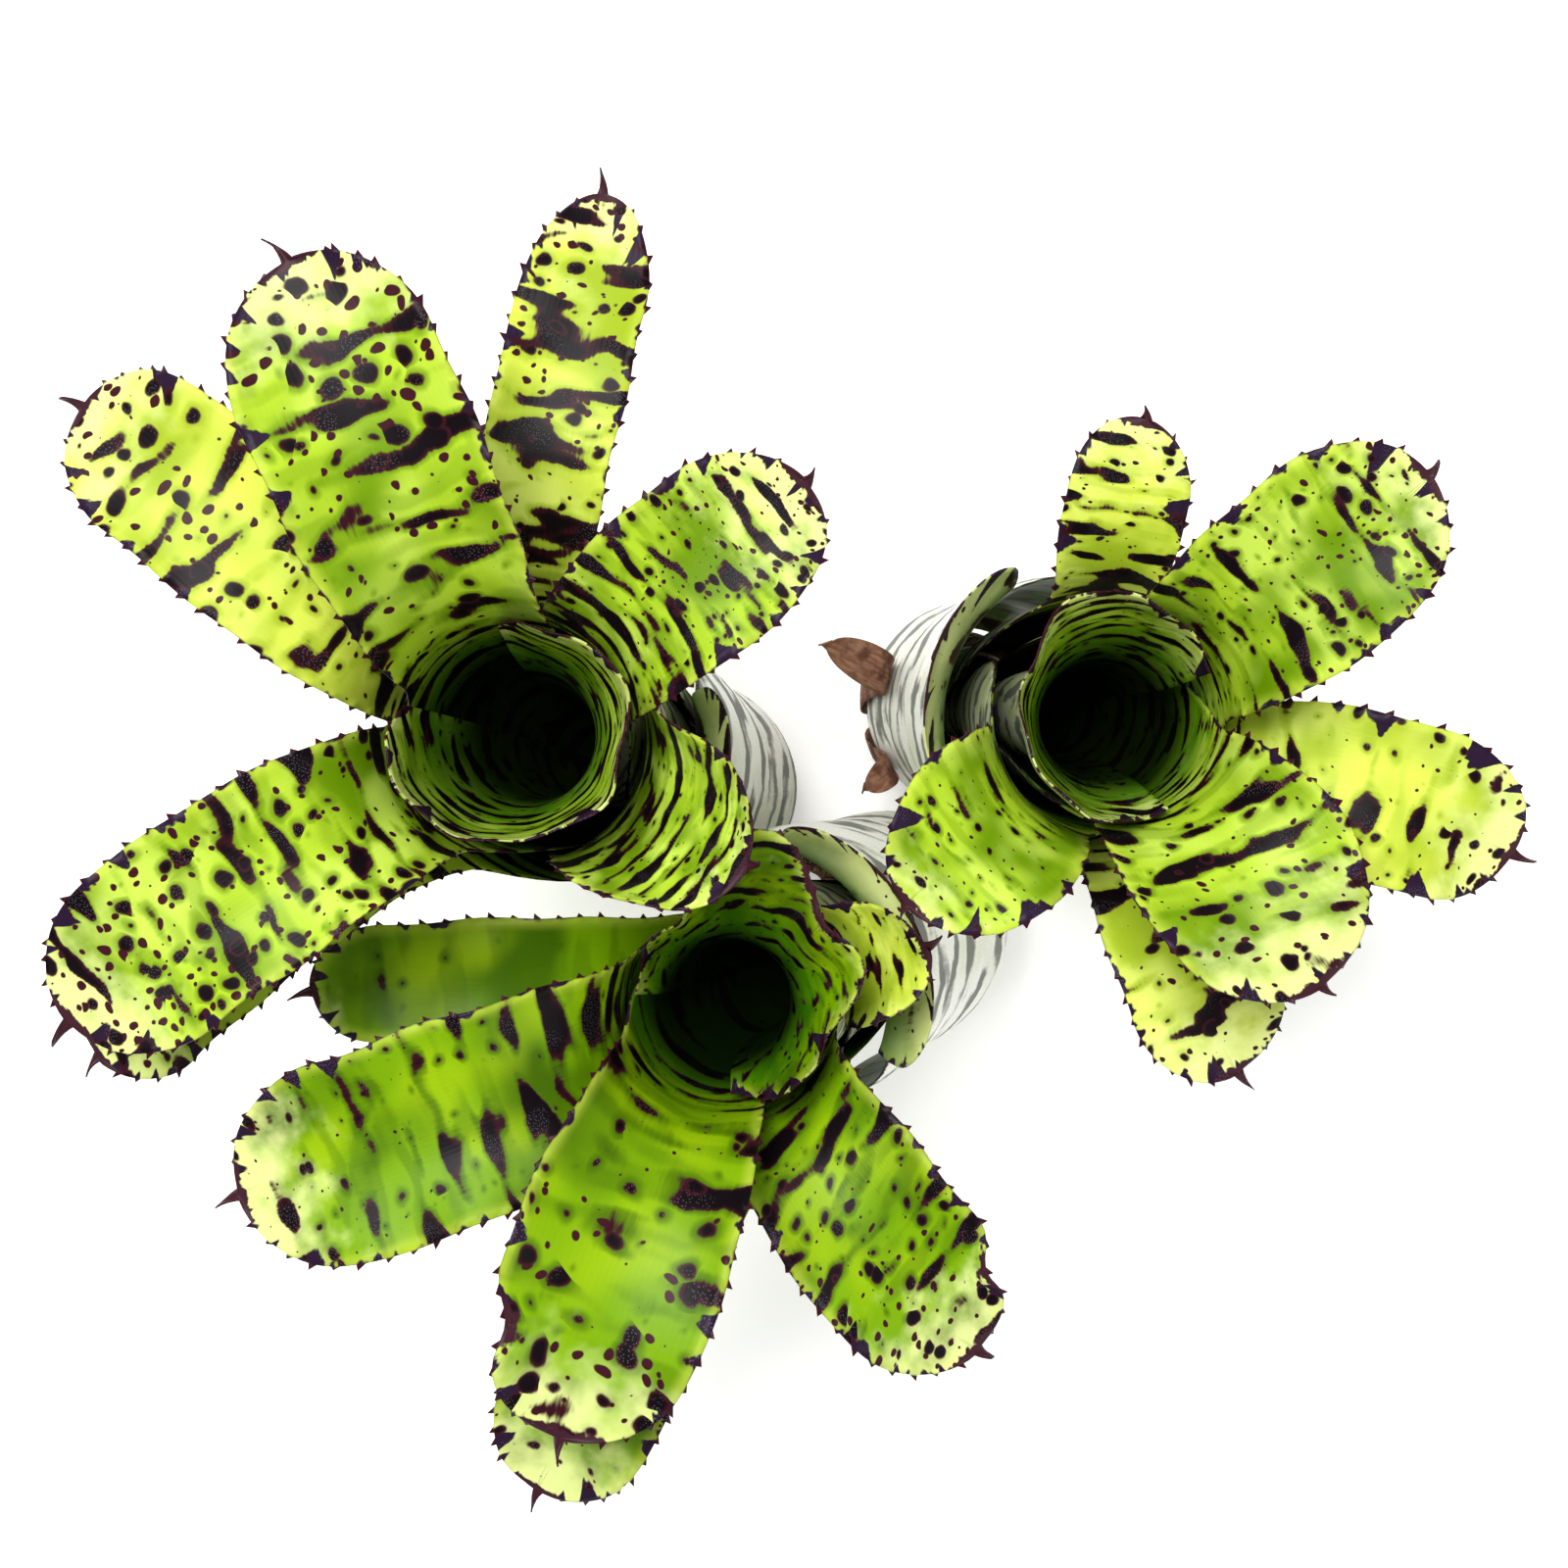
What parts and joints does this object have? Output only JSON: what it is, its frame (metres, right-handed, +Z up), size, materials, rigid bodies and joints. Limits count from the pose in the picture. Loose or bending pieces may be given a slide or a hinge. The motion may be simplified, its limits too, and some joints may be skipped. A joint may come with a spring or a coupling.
{
  "type": "neoregelia bromeliad",
  "caption": "Clump of tubular rosettes with dark-banded, spine-edged strap leaves, joined by short stolons; stands on its stem feet.",
  "frame": {"origin": "centre of the flat foot under the front rosette, on the resting plane", "axes": "+Z up, away from the resting plane; +X and +Y run to the right and the top of the picture, which looks straight down"},
  "size_m": [0.2358, 0.2202, 0.1282],
  "materials": {
    "leaf_lime": "waxy lime green leaf with near-black cross bands",
    "leaf_yellow": "waxy yellow-green leaf with near-black cross bands",
    "leaf_green": "waxy mid-green leaf with near-black bands and spots",
    "outer_sheath": "pale grey-green scurfy sheath with charcoal bands",
    "dry_bract": "dry brown papery scale",
    "stem_bark": "dull brown scarred stem"
  },
  "bodies": {
    "root": {"left_leaf_heart": "leaf_lime", "left_leaf_1": "leaf_lime", "left_leaf_2": "leaf_lime", "left_leaf_3": "leaf_lime", "left_leaf_4": "leaf_lime", "left_leaf_5": "leaf_yellow", "left_leaf_6": "leaf_yellow", "left_leaf_7": "leaf_lime", "left_sheath": "outer_sheath", "front_leaf_heart": "leaf_green", "front_leaf_1": "leaf_green", "front_leaf_2": "leaf_green", "front_leaf_3": "leaf_green", "front_leaf_4": "leaf_yellow", "front_leaf_5": "leaf_green", "front_leaf_6": "leaf_green", "front_sheath": "outer_sheath", "right_leaf_heart": "leaf_lime", "right_leaf_1": "leaf_lime", "right_leaf_2": "leaf_lime", "right_leaf_3": "leaf_lime", "right_leaf_4": "leaf_yellow", "right_leaf_5": "leaf_yellow", "right_leaf_6": "leaf_yellow", "right_sheath": "outer_sheath", "right_bract_1": "dry_bract", "right_bract_2": "dry_bract", "left_stem": "stem_bark", "front_stem": "stem_bark", "right_stem": "stem_bark", "stolon_left_front": "stem_bark", "stolon_front_right": "stem_bark"}
  },
  "joints": []
}
